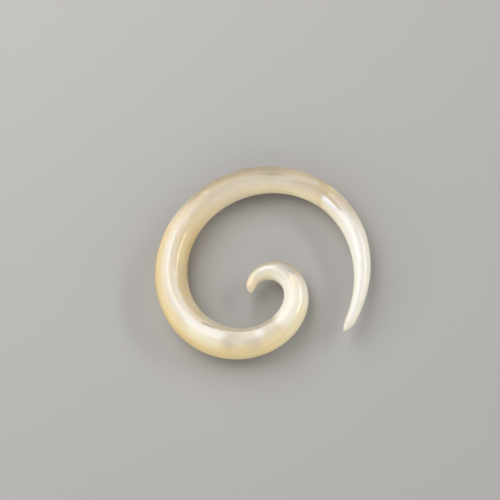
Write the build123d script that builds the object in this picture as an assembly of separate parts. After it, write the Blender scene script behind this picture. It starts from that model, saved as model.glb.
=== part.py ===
from build123d import *

import os
from collections import namedtuple
from math import cos, degrees, radians, sin, sqrt

# A spiral ear taper in polished shell, one piece with nothing fitted to it. A round body follows a flat spiral:
# it leaves a slim blunt point, swells over one wide turn to its gauge, and thins again into a small curl.
# It lies flat, as it does on a table, and seen from above it turns left all the way from its point.
# Origin: middle of the bounding box's underside. +Z up, +X along the longest way across. Millimetres, degrees.

# Driving dimensions
gauge = 6.0             # body diameter where it sits in the ear lobe, its thickest place
outer_bend = 17.0       # bend radius of the body's centreline on the wide turn
curl_bend = 3.0         # bend radius of the centreline at the end of the curl
start_heading = 63.0    # the way the body leaves its point, from +X towards +Y
point_round = 1.9       # length over which the point is rounded off
point_lean = 0.12       # how far the point's end is drawn to the inside of the turn
curl_round = 1.1        # length over which the curl's end is rounded off
end_flat = 0.25         # diameter of the tiny flat that is left on each end

# Sections along the body. turn: how far the body has turned since its point, in degrees.
# bend: bend radius, from 0 at curl_bend to 1 at outer_bend. body: diameter, as a share of the gauge.
Section = namedtuple("Section", "turn bend body")
sections = [
    Section(0, 1.43, 0.26),
    Section(45, 1.21, 0.59),
    Section(90, 1.07, 0.76),
    Section(135, 0.99, 0.87),
    Section(180, 0.98, 0.93),
    Section(225, 0.93, 1.00),
    Section(270, 0.75, 0.98),
    Section(315, 0.55, 0.88),
    Section(360, 0.36, 0.79),
    Section(405, 0.21, 0.71),
    Section(450, 0.11, 0.65),
    Section(495, 0.06, 0.52),
    Section(540, 0.02, 0.36),
    Section(585, 0.00, 0.24),
]

# How the loft and the walk along the centreline are divided
lofts_per_section = 2
strides = 24
rounding_steps = (0.4, 0.7, 0.9, 1.0)

full_turn = sections[-1].turn


def slope(column, row):
    # How fast a column changes at a row, from the rows on either side of it, and level at its largest value
    before = sections[max(row - 1, 0)]
    after = sections[min(row + 1, len(sections) - 1)]
    if getattr(sections[row], column) > max(getattr(before, column), getattr(after, column)):
        return 0
    return (getattr(after, column) - getattr(before, column)) / (after.turn - before.turn)


def along(column, turn):
    # A column's value at any turn, on a smooth curve through the rows
    row = max(k for k, section in enumerate(sections[:-1]) if section.turn <= turn)
    start, end = sections[row], sections[row + 1]
    gap = end.turn - start.turn
    t = (turn - start.turn) / gap
    low, high = getattr(start, column), getattr(end, column)
    rise_in, rise_out = gap * slope(column, row), gap * slope(column, row + 1)
    return (
        low * (1 + t * t * (2 * t - 3))
        + high * t * t * (3 - 2 * t)
        + rise_in * t * (t - 1) ** 2
        + rise_out * t * t * (t - 1)
    )


def bend_at(turn):
    return curl_bend + along("bend", turn) * (outer_bend - curl_bend)


# The rounded ends, as degrees of turn
point_turn = degrees(point_round / bend_at(0))
curl_turn = degrees(curl_round / curl_bend)


def radius_at(turn):
    # The rounded ends have the outline of a parabola, down to the tiny flat
    body = gauge * along("body", turn)
    left = min(turn / point_turn, (full_turn - turn) / curl_turn, 1)
    return sqrt(end_flat**2 + (body**2 - end_flat**2) * left) / 2


def heading_at(turn):
    angle = radians(start_heading + turn)
    return Vector(cos(angle), sin(angle), 0)


def lean_at(turn):
    # The point's end is drawn to the left of the heading, the inside of the turn
    reach = point_lean * max(1 - turn / point_turn, 0)
    return heading_at(turn + 90) * reach


def loft_turns():
    # Evenly spread between the rounded ends, with a few more on each end
    at_point = [point_turn * (1 - step) for step in reversed(rounding_steps)]
    at_curl = [full_turn - curl_turn * (1 - step) for step in rounding_steps]
    count = lofts_per_section * (len(sections) - 1)
    whole = full_turn - point_turn - curl_turn
    body = [point_turn + whole * k / count for k in range(count + 1)]
    return at_point + body + at_curl


def walk(turns):
    # Centreline points at these turns: from the point, each stretch is summed from short strides
    place = Vector(0, 0, 0)
    places = []
    last = 0
    for turn in turns:
        step = (turn - last) / strides
        for k in range(strides):
            middle = last + (k + 0.5) * step
            place += heading_at(middle) * (bend_at(middle) * radians(step))
        last = turn
        places.append(place)
    return places


def taper():
    turns = loft_turns()
    rings = []
    for turn, place in zip(turns, walk(turns)):
        across = Plane(origin=place + lean_at(turn), x_dir=(0, 0, -1), z_dir=heading_at(turn))
        rings.append(across * Circle(radius_at(turn)))
    rounded = len(rounding_steps)
    point_end = loft(rings[: rounded + 1])
    body = loft(rings[rounded:-rounded])
    curl_end = loft(rings[-rounded - 1 :])
    whole = (point_end + body + curl_end).solid()
    box = whole.bounding_box()
    middle = box.center()
    return Pos(-middle.X, -middle.Y, -box.min.Z) * whole


os.makedirs("parts", exist_ok=True)
spiral_taper = taper()
export_step(spiral_taper, "parts/spiral_taper.step")

size = spiral_taper.bounding_box().size
print(f"spiral_taper {size.X:.2f} x {size.Y:.2f} x {size.Z:.2f} mm, {spiral_taper.volume:.1f} mm3")
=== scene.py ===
from math import cos, degrees, pi, radians, sin, sqrt

import bmesh
import bpy
from mathutils import Matrix, Quaternion, Vector


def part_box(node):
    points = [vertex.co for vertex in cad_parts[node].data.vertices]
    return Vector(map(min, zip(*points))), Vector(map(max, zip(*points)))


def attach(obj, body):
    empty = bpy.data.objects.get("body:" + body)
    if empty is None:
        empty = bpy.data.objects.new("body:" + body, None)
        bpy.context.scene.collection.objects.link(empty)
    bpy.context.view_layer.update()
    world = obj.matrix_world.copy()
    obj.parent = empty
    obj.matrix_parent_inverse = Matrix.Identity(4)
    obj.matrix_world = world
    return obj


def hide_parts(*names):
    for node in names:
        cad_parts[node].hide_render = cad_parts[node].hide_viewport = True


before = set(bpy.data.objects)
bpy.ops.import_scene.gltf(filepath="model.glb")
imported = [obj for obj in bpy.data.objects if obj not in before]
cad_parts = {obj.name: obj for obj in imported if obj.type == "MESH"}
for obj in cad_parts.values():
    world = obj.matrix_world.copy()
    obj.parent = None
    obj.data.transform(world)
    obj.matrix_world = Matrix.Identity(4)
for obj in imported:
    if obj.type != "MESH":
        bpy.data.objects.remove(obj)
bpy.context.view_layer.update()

# Everything is in metres. The taper lies flat on the floor, z = 0.
mm = 0.001


# The spiral body
taper = {
    "gauge": 6.0 * mm,          # body diameter at its thickest place
    "outerBend": 17.0 * mm,     # bend radius of the centreline on the wide turn
    "curlBend": 3.0 * mm,       # and at the end of the curl
    "startHeading": 63.0,       # degrees from +X, the way the body leaves its point
    "pointRound": 1.9 * mm,     # length over which the point is rounded off
    "pointLean": 0.12 * mm,     # how far its end is drawn to the inside of the turn
    "curlRound": 1.1 * mm,      # length over which the curl's end is rounded off
    "ringSides": 48,
    "ringGap": 0.5 * mm,        # from ring to ring along the body
    "endRings": 10,             # rings on each rounded end
    # Down these three: degrees turned since the point, bend radius from 0 at curlBend to 1 at outerBend,
    # and body diameter as a share of the gauge
    "turn": range(0, 586, 45),
    "bend": (1.43, 1.21, 1.07, 0.99, 0.98, 0.93, 0.75, 0.55, 0.36, 0.21, 0.11, 0.06, 0.02, 0.00),
    "body": (0.26, 0.59, 0.76, 0.87, 0.93, 1.00, 0.98, 0.88, 0.79, 0.71, 0.65, 0.52, 0.36, 0.24),
}
fullTurn = taper["turn"][-1]


def slopeAt(column, row):
    # how fast a column changes at a row: not at all where the row is the largest of its neighbours
    values, turns = taper[column], taper["turn"]
    before, after = max(row - 1, 0), min(row + 1, len(turns) - 1)
    if values[row] > max(values[before], values[after]):
        return 0
    return (values[after] - values[before]) / (turns[after] - turns[before])


def valueAt(column, turn):
    # a smooth curve through the rows
    values, turns = taper[column], taper["turn"]
    row = max(k for k in range(len(turns) - 1) if turns[k] <= turn)
    gap = turns[row + 1] - turns[row]
    t = (turn - turns[row]) / gap
    low, high = values[row], values[row + 1]
    smooth = t * t * (3 - 2 * t)
    leave = gap * slopeAt(column, row) * t * (t - 1) ** 2
    arrive = gap * slopeAt(column, row + 1) * t * t * (t - 1)
    return low + (high - low) * smooth + leave + arrive


def bendAt(turn):
    return taper["curlBend"] + valueAt("bend", turn) * (taper["outerBend"] - taper["curlBend"])


pointTurn = degrees(taper["pointRound"] / bendAt(0))
curlTurn = degrees(taper["curlRound"] / taper["curlBend"])


def radiusAt(turn):
    # both ends are rounded like a parabola
    left = min(turn / pointTurn, (fullTurn - turn) / curlTurn, 1)
    return taper["gauge"] * valueAt("body", turn) / 2 * sqrt(max(left, 0))


def inwardAt(turn):
    angle = radians(taper["startHeading"] + turn + 90)
    return Vector((cos(angle), sin(angle), 0))


def ringTurns():
    steps = taper["endRings"]
    turns = [pointTurn * (k / steps) ** 2 for k in range(steps + 1)]
    while turns[-1] < fullTurn - curlTurn:
        turns.append(turns[-1] + degrees(taper["ringGap"] / bendAt(turns[-1])))
    return turns[:-1] + [fullTurn - curlTurn * (k / steps) ** 2 for k in range(steps, -1, -1)]


def sweepRings(bm):
    # one ring, spun on and on about the bend's own centre: (turn, place, length so far, ring) for each
    stand = Matrix.Rotation(radians(taper["startHeading"]), 3, "Z") @ Matrix.Rotation(radians(90), 3, "Y")
    ring = bmesh.ops.create_circle(bm, segments=taper["ringSides"], radius=mm)["verts"]
    bmesh.ops.rotate(bm, verts=ring, cent=(0, 0, 0), matrix=stand)
    edges = bm.edges[:]
    turns = ringTurns()
    place, length = Vector(), 0.0
    rings = [(turns[0], place, length, ring)]
    for before, turn in zip(turns, turns[1:]):
        bend, angle = bendAt((before + turn) / 2), radians(turn - before)
        centre = place + inwardAt(before) * bend
        last = bmesh.ops.spin(bm, geom=edges, cent=centre, axis=(0, 0, 1), angle=angle, steps=1)["geom_last"]
        edges = [part for part in last if isinstance(part, bmesh.types.BMEdge)]
        ring = [part for part in last if isinstance(part, bmesh.types.BMVert)]
        place = centre + Matrix.Rotation(angle, 3, "Z") @ (place - centre)
        length += bend * angle
        rings.append((turn, place, length, ring))
    return rings


def makeTaper():
    bm = bmesh.new()
    # mm along the body from its point; cosine and sine of the angle round it from its top
    along = bm.verts.layers.float.new("along")
    around = bm.verts.layers.float_vector.new("around")
    rings = sweepRings(bm)
    for turn, place, length, ring in rings:
        inward = inwardAt(turn)
        for vert in ring:
            spoke = (vert.co - place).normalized()
            vert[along] = length / mm
            vert[around] = (spoke.z, spoke.dot(inward), 0)
        size = radiusAt(turn) / mm
        if size > 0:
            bmesh.ops.scale(bm, vec=(size, size, size), space=Matrix.Translation(-place), verts=ring)
        lean = taper["pointLean"] * max(1 - turn / pointTurn, 0)
        bmesh.ops.translate(bm, vec=inward * lean, verts=ring)
    for turn, place, length, ring in (rings[0], rings[-1]):
        lean = taper["pointLean"] if turn == 0 else 0
        bmesh.ops.pointmerge(bm, verts=ring, merge_co=place + inwardAt(turn) * lean)
    bmesh.ops.recalc_face_normals(bm, faces=bm.faces)
    low = [min(vert.co[axis] for vert in bm.verts) for axis in range(3)]
    high = [max(vert.co[axis] for vert in bm.verts) for axis in range(3)]
    boxLow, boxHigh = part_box("spiral_taper")
    bmesh.ops.translate(bm, vec=(boxLow + boxHigh - Vector(low) - Vector(high)) / 2, verts=bm.verts)
    for face in bm.faces:
        face.smooth = True
    mesh = bpy.data.meshes.new("spiralBody")
    bm.to_mesh(mesh)
    bm.free()
    piece = bpy.data.objects.new("spiralBody", mesh)
    bpy.context.scene.collection.objects.link(piece)
    rounder = piece.modifiers.new("rounder", "SUBSURF")
    rounder.levels = rounder.render_levels = 1
    length = round(rings[-1][2] / mm, 1)
    print("body modelled:", len(rings), "rings,", len(mesh.polygons), "faces,", length, "mm long")
    return piece


# Shader helpers: a number is set on the socket, anything else is linked to it
def feed(tree, socket, value):
    if isinstance(value, bpy.types.NodeSocket):
        tree.links.new(value, socket)
    else:
        socket.default_value = value


def calc(tree, operation, *values, clamp=False):
    node = tree.nodes.new("ShaderNodeMath")
    node.operation = operation
    node.use_clamp = clamp
    for socket, value in zip(node.inputs, values):
        feed(tree, socket, value)
    return node.outputs[0]


def smoothStep(tree, value, low, high):
    node = tree.nodes.new("ShaderNodeMapRange")
    node.interpolation_type = "SMOOTHSTEP"
    for name, number in (("Value", value), ("From Min", low), ("From Max", high)):
        feed(tree, node.inputs[name], number)
    return node.outputs["Result"]


def mixColours(tree, mask, under, over):
    node = tree.nodes.new("ShaderNodeMix")
    node.data_type = "RGBA"
    feed(tree, node.inputs["Factor"], mask)
    for socket, value in zip([s for s in node.inputs if s.type == "RGBA"], (under, over)):
        feed(tree, socket, value)
    return next(s for s in node.outputs if s.type == "RGBA")


def startGroup(name, inputs, outputs):
    tree = bpy.data.node_groups.new(name, "ShaderNodeTree")
    for label in inputs:
        tree.interface.new_socket(label, in_out="INPUT", socket_type="NodeSocketFloat")
    for label in outputs:
        tree.interface.new_socket(label, in_out="OUTPUT", socket_type="NodeSocketFloat")
    return tree, tree.nodes.new("NodeGroupInput").outputs, tree.nodes.new("NodeGroupOutput").inputs


def useGroup(tree, group, **values):
    node = tree.nodes.new("ShaderNodeGroup")
    node.node_tree = group
    for name, value in values.items():
        feed(tree, node.inputs[name], value)
    return node.outputs


def bodyPlaceGroup():
    # where a spot of the surface is: mm along the body, degrees round it (0 on top, positive inside the turn)
    tree, _, out = startGroup("bodyPlace", (), ("along", "around"))
    along = tree.nodes.new("ShaderNodeAttribute")
    along.attribute_name = "along"
    tree.links.new(along.outputs["Fac"], out["along"])
    around = tree.nodes.new("ShaderNodeAttribute")
    around.attribute_name = "around"
    parts = tree.nodes.new("ShaderNodeSeparateXYZ")
    tree.links.new(around.outputs["Vector"], parts.inputs[0])
    angle = calc(tree, "ARCTAN2", parts.outputs["Y"], parts.outputs["X"])
    tree.links.new(calc(tree, "DEGREES", angle), out["around"])
    return tree


# where the spot is, then the band's own values, in the order that the shell's bands give them
bandInputs = ("along", "around", "start", "end", "endBlur", "centre", "slant", "half", "blur", "strength")


def bodyBandGroup():
    # a soft-edged band on the body, which may slant: a long streak, a patch or a thin line
    tree, given, out = startGroup("bodyBand", bandInputs, ("mask",))
    startLow = calc(tree, "SUBTRACT", given["start"], given["endBlur"])
    startHigh = calc(tree, "ADD", given["start"], given["endBlur"])
    endLow = calc(tree, "SUBTRACT", given["end"], given["endBlur"])
    endHigh = calc(tree, "ADD", given["end"], given["endBlur"])
    begun = smoothStep(tree, given["along"], startLow, startHigh)
    ended = smoothStep(tree, given["along"], endLow, endHigh)
    lengthwise = calc(tree, "SUBTRACT", begun, ended, clamp=True)
    middle = calc(tree, "MULTIPLY", calc(tree, "ADD", given["start"], given["end"]), 0.5)
    shift = calc(tree, "MULTIPLY", calc(tree, "SUBTRACT", given["along"], middle), given["slant"])
    offset = calc(tree, "SUBTRACT", calc(tree, "SUBTRACT", given["around"], given["centre"]), shift)
    offset = calc(tree, "ABSOLUTE", calc(tree, "WRAP", offset, 180.0, -180.0))
    edgeLow = calc(tree, "SUBTRACT", given["half"], given["blur"])
    edgeHigh = calc(tree, "ADD", given["half"], given["blur"])
    across = calc(tree, "SUBTRACT", 1.0, smoothStep(tree, offset, edgeLow, edgeHigh))
    mask = calc(tree, "MULTIPLY", lengthwise, across)
    tree.links.new(calc(tree, "MULTIPLY", mask, given["strength"]), out["mask"])
    return tree


def bodyNoiseGroup():
    # noise in the body's own directions, without a seam: drawn out along it by the two scales
    tree, given, out = startGroup("bodyNoise", ("alongScale", "aroundScale", "detail", "offset"), ("value",))
    along = tree.nodes.new("ShaderNodeAttribute")
    along.attribute_name = "along"
    around = tree.nodes.new("ShaderNodeAttribute")
    around.attribute_name = "around"
    ring = tree.nodes.new("ShaderNodeSeparateXYZ")
    tree.links.new(around.outputs["Vector"], ring.inputs[0])
    spot = tree.nodes.new("ShaderNodeCombineXYZ")
    lengthwise = calc(tree, "MULTIPLY", along.outputs["Fac"], given["alongScale"])
    tree.links.new(calc(tree, "ADD", lengthwise, given["offset"]), spot.inputs["X"])
    for axis, side in (("Y", ring.outputs["X"]), ("Z", ring.outputs["Y"])):
        tree.links.new(calc(tree, "MULTIPLY", side, given["aroundScale"]), spot.inputs[axis])
    noise = tree.nodes.new("ShaderNodeTexNoise")
    noise.inputs["Scale"].default_value = 1.0
    tree.links.new(spot.outputs[0], noise.inputs["Vector"])
    tree.links.new(given["detail"], noise.inputs["Detail"])
    tree.links.new(noise.outputs["Fac"], out["value"])
    return tree


def layerLinesGroup():
    # edges of the shell's flat layers, where the round body cuts through them: 0 to 1 across each layer
    tree, given, out = startGroup("layerLines", ("spacing", "waviness", "waveScale"), ("value",))
    coordinates = tree.nodes.new("ShaderNodeTexCoord")
    noise = tree.nodes.new("ShaderNodeTexNoise")
    noise.inputs["Detail"].default_value = 2.0      # low, so that the layers wave and don't fray
    tree.links.new(coordinates.outputs["Object"], noise.inputs["Vector"])
    tree.links.new(given["waveScale"], noise.inputs["Scale"])
    height = tree.nodes.new("ShaderNodeSeparateXYZ")
    tree.links.new(coordinates.outputs["Object"], height.inputs[0])
    wavy = calc(tree, "MULTIPLY", calc(tree, "SUBTRACT", noise.outputs["Fac"], 0.5), given["waviness"])
    level = calc(tree, "DIVIDE", calc(tree, "ADD", height.outputs["Z"], wavy), given["spacing"])
    turned = calc(tree, "SINE", calc(tree, "MULTIPLY", level, 2 * pi))
    tree.links.new(calc(tree, "MULTIPLY_ADD", turned, 0.5, 0.5), out["value"])
    return tree


shell = {
    "tones": {
        "milk": (0.92, 0.86, 0.74, 1),
        # the next tone serves both for pale shell and for painted highlights
        "snow": (0.90, 0.87, 0.82, 1),
        "pearl": (0.76, 0.72, 0.64, 1),
        "lilac": (0.80, 0.75, 0.74, 1),
        "blush": (0.86, 0.73, 0.60, 1),
        "cream": (0.85, 0.73, 0.52, 1),
        "straw": (0.80, 0.65, 0.38, 1),
        "butter": (0.94, 0.78, 0.46, 1),
        "honey": (0.76, 0.58, 0.26, 1),
        "gold": (0.68, 0.46, 0.14, 1),
        "amber": (0.93, 0.73, 0.36, 1),
        "sand": (0.68, 0.58, 0.43, 1),
        "stone": (0.54, 0.46, 0.36, 1),
        "tan": (0.52, 0.41, 0.25, 1),
        "dusk": (0.40, 0.33, 0.22, 1),
        "smoke": (0.56, 0.51, 0.46, 1),
        "mint": (0.70, 0.72, 0.58, 1),
        # the next tone serves only a painted highlight
        "frost": (0.95, 0.92, 0.93, 1),
        "ivory": (0.98, 0.92, 0.79, 1),
        "vanilla": (0.99, 0.92, 0.72, 1),
        "custard": (0.98, 0.85, 0.56, 1),
        "peach": (0.98, 0.87, 0.69, 1),
    },
    # colours of the four sides of the body: (mm along it, tone)
    "top": (
        # from 3 to 21 mm the top is partly painted highlight, a pale core along the slim end
        (0, "peach"), (1.4, "milk"), (3, "snow"), (21, "snow"), (23.5, "pearl"), (24.3, "pearl"),
        # from 25.2 mm the top is painted shade over the crown: stone, fading to sand by 57 mm
        (25.2, "stone"), (50, "stone"), (57, "sand"), (72, "sand"), (80, "pearl"), (96, "pearl"),
        (98.6, "milk"), (103, "milk"), (108, "pearl"), (113, "pearl"), (116, "cream"), (118, "cream"),
    ),
    "underneath": (
        (0, "milk"), (24, "cream"), (36, "sand"), (50, "straw"), (62, "honey"), (78, "straw"),
        (90, "sand"), (100, "milk"), (110, "cream"), (118, "cream"),
    ),
    "outside": (
        (0, "peach"), (1.4, "ivory"), (12, "ivory"), (19, "milk"), (23, "sand"), (26, "sand"),
        # from 29.5 to 54 mm the outer side is painted shade over the crown: tan, stone and dusk
        (28, "straw"), (29.5, "tan"), (33, "stone"), (38, "stone"), (44, "dusk"), (48, "dusk"),
        (54, "stone"), (58.6, "sand"), (60, "straw"), (63, "honey"), (72, "honey"), (77, "amber"),
        (87, "amber"), (91, "butter"), (94.5, "butter"), (101, "custard"), (104.5, "milk"), (107, "sand"),
        (110, "dusk"), (113, "dusk"), (115.5, "cream"), (118, "blush"),
    ),
    "inside": (
        (0, "peach"), (1.4, "milk"), (8, "ivory"), (18, "ivory"), (21, "vanilla"), (23, "vanilla"),
        (25, "cream"), (27, "cream"), (28.2, "straw"), (29.5, "cream"), (47, "cream"), (57, "straw"),
        # from 83 to 97 mm the inner wall is painted shade: sand, then stone
        (76, "straw"), (83, "sand"), (94, "sand"), (96.8, "stone"), (98.2, "milk"), (103, "ivory"),
        (107, "ivory"), (112, "vanilla"), (116, "cream"), (118, "cream"),
    ),
    # A band is: from and to in mm along the body, end blur, degrees round it, slant in degrees a mm,
    # half width, side blur and strength. These three lie over the top's colours, past both ends.
    "sides": {
        "underneath": (-20, 140, 1.0, 180, 0.0, 60, 30, 1.0),
        "outside": (-20, 140, 1.0, -75, 0.0, 50, 22, 1.0),
        "inside": (-20, 140, 1.0, 75, 0.0, 48, 22, 1.0),
    },
    # tone and band of each streak or patch, one over the other: shell figure, and in places painted
    # highlights and painted shade
    "patches": (
        # the slim end, up to a painted highlight, where the top turns darker
        # partly painted highlight: a pale streak on the slim end's inner top
        ("snow", 15, 24.8, 1.5, 26, 0.0, 17, 9, 0.70),
        ("vanilla", 24.6, 28.0, 0.7, 52, 0.0, 22, 10, 0.62),
        ("honey", 25, 38, 2.0, -20, 0.0, 24, 10, 0.24),
        ("tan", 23.6, 27.6, 0.6, 4, 0.0, 6, 3, 0.75),
        ("tan", 27.0, 30.5, 0.7, 2, 0.0, 10, 4, 0.75),
        # painted highlight: a bright, crisp patch on the shoulder where a lamp's reflection falls
        ("frost", 24.4, 28.1, 0.35, 25, 0.5, 12, 4, 0.90),
        ("blush", 24.6, 27.2, 0.5, -16, 0.0, 12, 6, 0.60),
        # the crown of the wide turn
        # painted shade on the crown's outer side
        ("dusk", 36.5, 54.8, 2.0, -46, -1.4, 42, 7, 0.68),
        ("tan", 31, 36.8, 1.2, -20, 0.0, 24, 12, 0.16),
        ("pearl", 29.8, 37.8, 1.4, -4, 5.0, 13, 5, 0.30),
        ("honey", 42, 58, 2.0, -10, -1.2, 13, 8, 0.18),
        ("pearl", 36, 52, 4.0, 18, -1.0, 14, 8, 0.25),
        ("honey", 47.5, 57.5, 2.0, -2, 0.0, 13, 8, 0.14),
        ("snow", 51.0, 52.4, 0.5, -8, -4.0, 9, 6, 0.16),
        ("pearl", 35, 57, 3.0, 42, 0.0, 12, 10, 0.25),
        # painted highlight: pale patches where the lit band begins past the crown
        ("cream", 54.8, 60, 1.2, -22, 0.0, 14, 8, 0.28),
        ("milk", 53, 60, 2.0, 11, 0.0, 12, 7, 0.30),
        ("custard", 29.5, 44, 2.0, 76, 0.0, 21, 14, 0.95),
        # its left side, from the honey outside to the pale top
        ("gold", 58, 71, 4.0, 88, 0.0, 22, 18, 0.60),
        ("straw", 49, 62, 4.0, -113, 3.0, 25, 17, 0.60),
        ("sand", 60, 69, 2.5, -128, 4.0, 16, 12, 0.40),
        ("gold", 62, 84, 5.0, -78, 0.0, 26, 16, 0.35),
        ("gold", 61.5, 70, 2.0, -53, 0.0, 20, 12, 0.60),
        ("butter", 58.5, 86, 2.5, -34, 0.3, 14, 9, 0.58),
        ("cream", 58, 72, 3.0, -12, 0.3, 12, 7, 0.45),
        # partly painted highlight: the lilac, pale and ivory bands down the top of the left side are both
        # shell tone and painted sheen along the lamp's highlight band
        ("lilac", 61, 81, 4.0, 0, 0.2, 11, 6, 0.45),
        ("snow", 79.5, 87, 1.8, 6, 0.8, 15, 5, 0.55),
        ("ivory", 59.5, 79, 2.0, 3.5, 0.1, 5, 3, 0.50),
        ("cream", 57.5, 70, 1.5, 18, 0.2, 8, 4, 0.62),
        ("cream", 66.5, 76, 2.0, 11, 0.0, 6, 4, 0.48),
        ("milk", 68.5, 79, 1.5, 22, -0.9, 8, 4, 0.68),
        ("dusk", 59.5, 69, 1.5, 10, 0.0, 1.0, 1.2, 0.16),
        ("dusk", 69, 77, 1.0, 11, 0.8, 0.9, 1.2, 0.26),
        ("vanilla", 80.5, 87.0, 1.5, -25, 0.0, 15, 18, 0.85),
        ("custard", 81.5, 86.8, 1.2, -41, 0.0, 13, 9, 0.50),
        # the inside of the turn, at the left and below
        ("honey", 57.8, 61, 0.8, 58, 0.0, 30, 14, 0.25),
        # painted shade on the inner wall of the left side
        ("tan", 67.5, 82, 2.0, 61, 0.0, 27, 7, 0.40),
        # the smoke, tan, dusk and stone rows down to 96.8 mm are painted shade and painted dark reflection on
        # the inner wall of the lower turn, edged by a crisp line
        ("smoke", 81, 97.4, 1.0, 58, -0.5, 27, 3, 0.30),
        ("tan", 84, 97.4, 1.6, 49, -0.6, 17, 3, 0.36),
        ("cream", 78.5, 82.5, 1.2, 23, 0.0, 9, 5, 0.45),
        ("tan", 81.8, 87.2, 0.6, 28.5, 1.6, 4.2, 2.4, 0.62),
        ("dusk", 81.9, 84.6, 0.5, 25.5, 1.5, 3.0, 2.2, 0.40),
        ("tan", 86.8, 97.2, 0.8, 31.8, -0.5, 4.0, 2.4, 0.52),
        ("stone", 89.5, 96.8, 1.2, 40, -0.5, 12, 5, 0.54),
        ("sand", 93, 103, 3.0, 114, 3.5, 20, 15, 0.55),
        # painted highlight: a thin pale rim of light along that edge
        ("milk", 86.5, 97.2, 0.8, 24.5, -0.6, 1.6, 1.8, 0.60),
        # the cloudy part at the bottom, with one painted highlight
        ("stone", 87.2, 89.0, 0.8, -13, 0.0, 23, 17, 0.44),
        ("tan", 87.2, 90.2, 0.6, 6, 0.0, 16, 7, 0.50),
        ("stone", 90.7, 93.0, 0.9, -26, 0.0, 28, 20, 0.34),
        ("sand", 89.6, 92.4, 0.5, 4, 0.0, 18, 6, 0.60),
        # painted highlight: a bright spot on the bottom's top
        ("snow", 92.6, 94.1, 0.5, 8, 0.0, 12, 6, 0.52),
        ("sand", 94.2, 97.2, 0.7, 1, 0.0, 20, 10, 0.72),
        ("cream", 93.6, 97.6, 1.0, -22, 0.0, 12, 9, 0.60),
        ("amber", 83, 97, 3.0, -82, 0.0, 24, 14, 0.60),
        # the curl
        ("ivory", 97.8, 107, 1.2, -20, 0.6, 18, 10, 0.60),
        ("peach", 104.8, 107.0, 0.8, -10, 0.0, 14, 9, 0.65),
        ("snow", 104.5, 111, 1.5, 30, 0.0, 14, 9, 0.24),
        ("smoke", 107.1, 110.2, 0.6, -16, -1.5, 23, 6, 0.80),
        ("stone", 109.8, 113.4, 0.8, -30, 0.0, 18, 8, 0.95),
        # painted highlight: a bright spot on top of the curl
        ("snow", 110.9, 113.4, 0.4, -2, -2.0, 11, 3, 0.80),
        ("straw", 110.8, 114.4, 1.0, 54, 0.0, 17, 12, 0.28),
    ),
    # seamless noises: scale along the body, scale round it, detail and offset
    "noises": {
        "slow": (0.12, 1.4, 3.0, 0.0),
        "drift": (0.22, 1.8, 2.0, 31.0),
        "grain": (0.10, 20.0, 2.0, 7.0),
        "ripple": (0.5, 3.0, 2.0, 53.0),
        "eddy": (0.45, 2.2, 1.0, 71.0),
        "flecks": (0.8, 2.4, 1.5, 17.0),
    },
    # how far they move the bands about: mm along the body, degrees round it
    "wanderAlong": {"drift": 1.6, "ripple": 1.3},
    "wanderAround": {"slow": 8.0, "eddy": 9.0},
    # broad clouds, then the fine grain: noise, where the veil begins and is full, strength and tone
    "veils": (
        ("slow", 0.52, 0.75, 0.14, "straw"),
        ("drift", 0.55, 0.75, 0.20, "lilac"),
        ("ripple", 0.55, 0.70, 0.05, "mint"),
        ("flecks", 0.50, 0.72, 0.10, "pearl"),
        ("flecks", 0.50, 0.30, 0.08, "sand"),
        ("grain", 0.52, 0.72, 0.11, "milk"),
        ("grain", 0.48, 0.30, 0.07, "tan"),
    ),
    "roughness": 0.22,
    "grainRoughness": 0.16,         # what the grain adds to it
    "coat": 0.55,
    # the crown of the wide turn has a duller polish: its band, and what it adds
    "dullBand": (29.0, 57.0, 2.5, 0.0, 0.0, 200.0, 1.0, 1.0),
    "dullRoughness": 0.22,
    "dullCoat": -0.42,
    "layers": {"spacing": 0.5 * mm, "waviness": 1.2 * mm, "waveScale": 180.0},
    "layerRelief": 0.3,             # share of the layers in the bump
    "grainRelief": 0.7,             # and of the grain
    "bumpStrength": 0.25,
    "bumpDistance": 0.02 * mm,
    # the same all over, each on the shader's own socket
    "finish": {
        "Subsurface Weight": 0.35,
        "Subsurface Scale": 1.0 * mm,
        "Subsurface Radius": (1.0, 0.85, 0.65),
        "Metallic": 0.05,
        "Specular IOR Level": 0.10,
        "Coat Roughness": 0.06,
    },
}


def bodyNoise(tree, group, alongScale, aroundScale, detail, offset):
    values = {"alongScale": alongScale, "aroundScale": aroundScale, "detail": detail, "offset": offset}
    return useGroup(tree, group, **values)["value"]


def wander(tree, value, noise, reach):
    # shifts a coordinate by up to half the reach either way
    return calc(tree, "ADD", value, calc(tree, "MULTIPLY", calc(tree, "SUBTRACT", noise, 0.5), reach))


def bandMask(tree, group, along, around, band):
    values = dict(zip(bandInputs, (along, around, *band)))
    return useGroup(tree, group, **values)["mask"]


def lengthColours(tree, along, side):
    ramp = tree.nodes.new("ShaderNodeValToRGB")
    fullLength = shell[side][-1][0]
    stops = ramp.color_ramp.elements
    while len(stops) < len(shell[side]):
        stops.new(1.0)
    for stop, (distance, tone) in zip(stops, shell[side]):
        stop.position = distance / fullLength
        stop.color = shell["tones"][tone]
    tree.links.new(calc(tree, "DIVIDE", along, float(fullLength)), ramp.inputs[0])
    return ramp.outputs["Color"]


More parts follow.
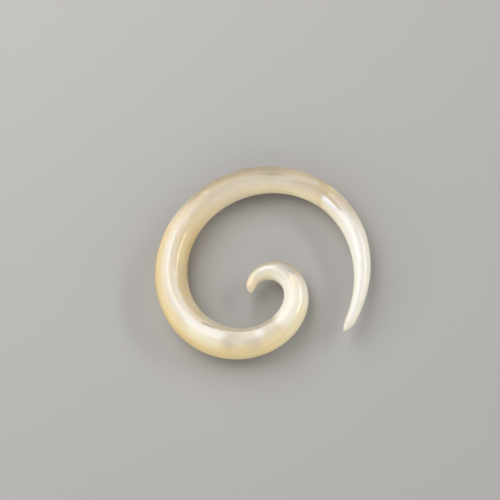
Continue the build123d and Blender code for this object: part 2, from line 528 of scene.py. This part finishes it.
def pearlShell():
    material = bpy.data.materials.new("pearlShell")
    material.use_nodes = True
    tree = material.node_tree
    shader = tree.nodes["Principled BSDF"]
    tones = shell["tones"]
    place = useGroup(tree, bodyPlaceGroup())
    noiseGroup, bandGroup = bodyNoiseGroup(), bodyBandGroup()
    noises = {name: bodyNoise(tree, noiseGroup, *values) for name, values in shell["noises"].items()}
    along, around = place["along"], place["around"]
    for name, reach in shell["wanderAlong"].items():
        along = wander(tree, along, noises[name], reach)
    for name, reach in shell["wanderAround"].items():
        around = wander(tree, around, noises[name], reach)

    # colour: the top, the other sides over it, the patches (some of them painted highlights and painted
    # shade), then the veils
    colour = lengthColours(tree, along, "top")
    for side, band in shell["sides"].items():
        mask = bandMask(tree, bandGroup, along, around, band)
        colour = mixColours(tree, mask, colour, lengthColours(tree, along, side))
    for tone, *band in shell["patches"]:
        mask = bandMask(tree, bandGroup, along, around, band)
        colour = mixColours(tree, mask, colour, tones[tone])
    for name, begins, full, strength, tone in shell["veils"]:
        mask = calc(tree, "MULTIPLY", smoothStep(tree, noises[name], begins, full), strength)
        colour = mixColours(tree, mask, colour, tones[tone])
    tree.links.new(colour, shader.inputs["Base Color"])

    # polish
    grain = noises["grain"]
    dull = bandMask(tree, bandGroup, along, around, shell["dullBand"])
    roughness = calc(tree, "MULTIPLY_ADD", grain, shell["grainRoughness"], shell["roughness"])
    roughness = calc(tree, "MULTIPLY_ADD", dull, shell["dullRoughness"], roughness)
    tree.links.new(roughness, shader.inputs["Roughness"])
    coat = calc(tree, "MULTIPLY_ADD", dull, shell["dullCoat"], shell["coat"])
    tree.links.new(coat, shader.inputs["Coat Weight"])

    # relief: the edges of the flat layers and the grain
    layers = useGroup(tree, layerLinesGroup(), **shell["layers"])["value"]
    height = calc(tree, "MULTIPLY", grain, shell["grainRelief"])
    height = calc(tree, "MULTIPLY_ADD", layers, shell["layerRelief"], height)
    bump = tree.nodes.new("ShaderNodeBump")
    bump.inputs["Strength"].default_value = shell["bumpStrength"]
    bump.inputs["Distance"].default_value = shell["bumpDistance"]
    tree.links.new(height, bump.inputs["Height"])
    tree.links.new(bump.outputs["Normal"], shader.inputs["Normal"])
    for name, value in shell["finish"].items():
        shader.inputs[name].default_value = value
    print("shell coloured:", len(tones), "tones,", len(shell["patches"]), "streaks and patches")
    return material


# The floor, the lights and the camera
studio = {
    "floorSize": 1.6,
    "floorColour": (0.45, 0.44, 0.425, 1),
    "floorRoughness": 0.6,
    "floorSpecular": 0.2,
    "worldColour": (1.0, 0.98, 0.95, 1),
    "worldStrength": 0.10,
    # name: place, point it looks at, width, height (all in metres), radiance, and whether gloss mirrors it
    "lights": {
        "overheadSoftbox": ((-0.30, 0.36, 0.30), (-0.30, 0.36, 0.0), 0.60, 0.75, 2.20, True),
        "sideStrip": ((0.394, 0.157, 0.268), (0, 0, 0), 0.355, 0.05, 12.0, True),
        "topFill": ((0.05, -0.10, 0.70), (0, 0, 0), 0.60, 0.60, 0.3, False),
        "frontFill": ((0.05, -0.60, 0.30), (0, 0, 0), 0.90, 0.45, 1.5, False),
        "leftFill": ((-0.60, -0.15, 0.17), (0, 0, 0), 0.80, 0.28, 1.8, False),
        "rightFill": ((0.60, -0.10, 0.17), (0, 0, 0), 0.80, 0.28, 1.7, False),
    },
}

view = {
    "azimuth": 31.87,           # degrees from -Y towards +X
    "elevation": 63.43,         # degrees above the floor
    "roll": -29.29,             # degrees about the line of sight
    "distance": 268.79 * mm,
    "lookAt": Vector((-2.084, 1.587, 4.218)) * mm,
    "lens": 108.0,              # focal length and sensor width as Blender gives them, in millimetres
    "sensor": 36.0,
    "nearest": 10.0 * mm,       # nothing nearer is drawn
}


def makeFloor():
    bm = bmesh.new()
    bmesh.ops.create_grid(bm, x_segments=1, y_segments=1, size=studio["floorSize"] / 2)
    mesh = bpy.data.meshes.new("floor")
    bm.to_mesh(mesh)
    bm.free()
    floor = bpy.data.objects.new("floor", mesh)
    bpy.context.scene.collection.objects.link(floor)
    material = bpy.data.materials.new("paleFloor")
    material.use_nodes = True
    shader = material.node_tree.nodes["Principled BSDF"]
    shader.inputs["Base Color"].default_value = studio["floorColour"]
    shader.inputs["Roughness"].default_value = studio["floorRoughness"]
    shader.inputs["Specular IOR Level"].default_value = studio["floorSpecular"]
    mesh.materials.append(material)
    print("floor laid")


def makeLights():
    scene = bpy.context.scene
    scene.world = bpy.data.worlds.new("studioWorld")
    scene.world.use_nodes = True
    background = scene.world.node_tree.nodes["Background"]
    background.inputs["Color"].default_value = studio["worldColour"]
    background.inputs["Strength"].default_value = studio["worldStrength"]
    for name, (place, target, width, height, radiance, mirrored) in studio["lights"].items():
        lamp = bpy.data.lights.new(name, "AREA")
        lamp.shape = "RECTANGLE"
        lamp.size, lamp.size_y = width, height
        lamp.energy = radiance * pi * width * height
        light = bpy.data.objects.new(name, lamp)
        scene.collection.objects.link(light)
        light.location = place
        light.rotation_euler = (Vector(target) - Vector(place)).to_track_quat("-Z", "Y").to_euler()
        light.visible_camera = False
        light.visible_glossy = mirrored
    scene.view_settings.view_transform = "Standard"
    print("studio lit:", len(studio["lights"]), "soft lights")


def makeCamera():
    side, height = radians(view["azimuth"]), radians(view["elevation"])
    back = Vector((sin(side) * cos(height), -cos(side) * cos(height), sin(height)))
    camera = bpy.data.cameras.new("camera")
    camera.lens = view["lens"]
    camera.sensor_width = view["sensor"]
    camera.clip_start = view["nearest"]
    holder = bpy.data.objects.new("camera", camera)
    bpy.context.scene.collection.objects.link(holder)
    holder.location = view["lookAt"] + back * view["distance"]
    turned = Quaternion(back, radians(view["roll"])) @ (-back).to_track_quat("-Z", "Y")
    holder.rotation_euler = turned.to_euler()
    bpy.context.scene.camera = holder
    print("camera set")


spiralBody = makeTaper()
spiralBody.data.materials.append(pearlShell())
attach(spiralBody, "root")
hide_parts("spiral_taper")
makeFloor()
makeLights()
makeCamera()
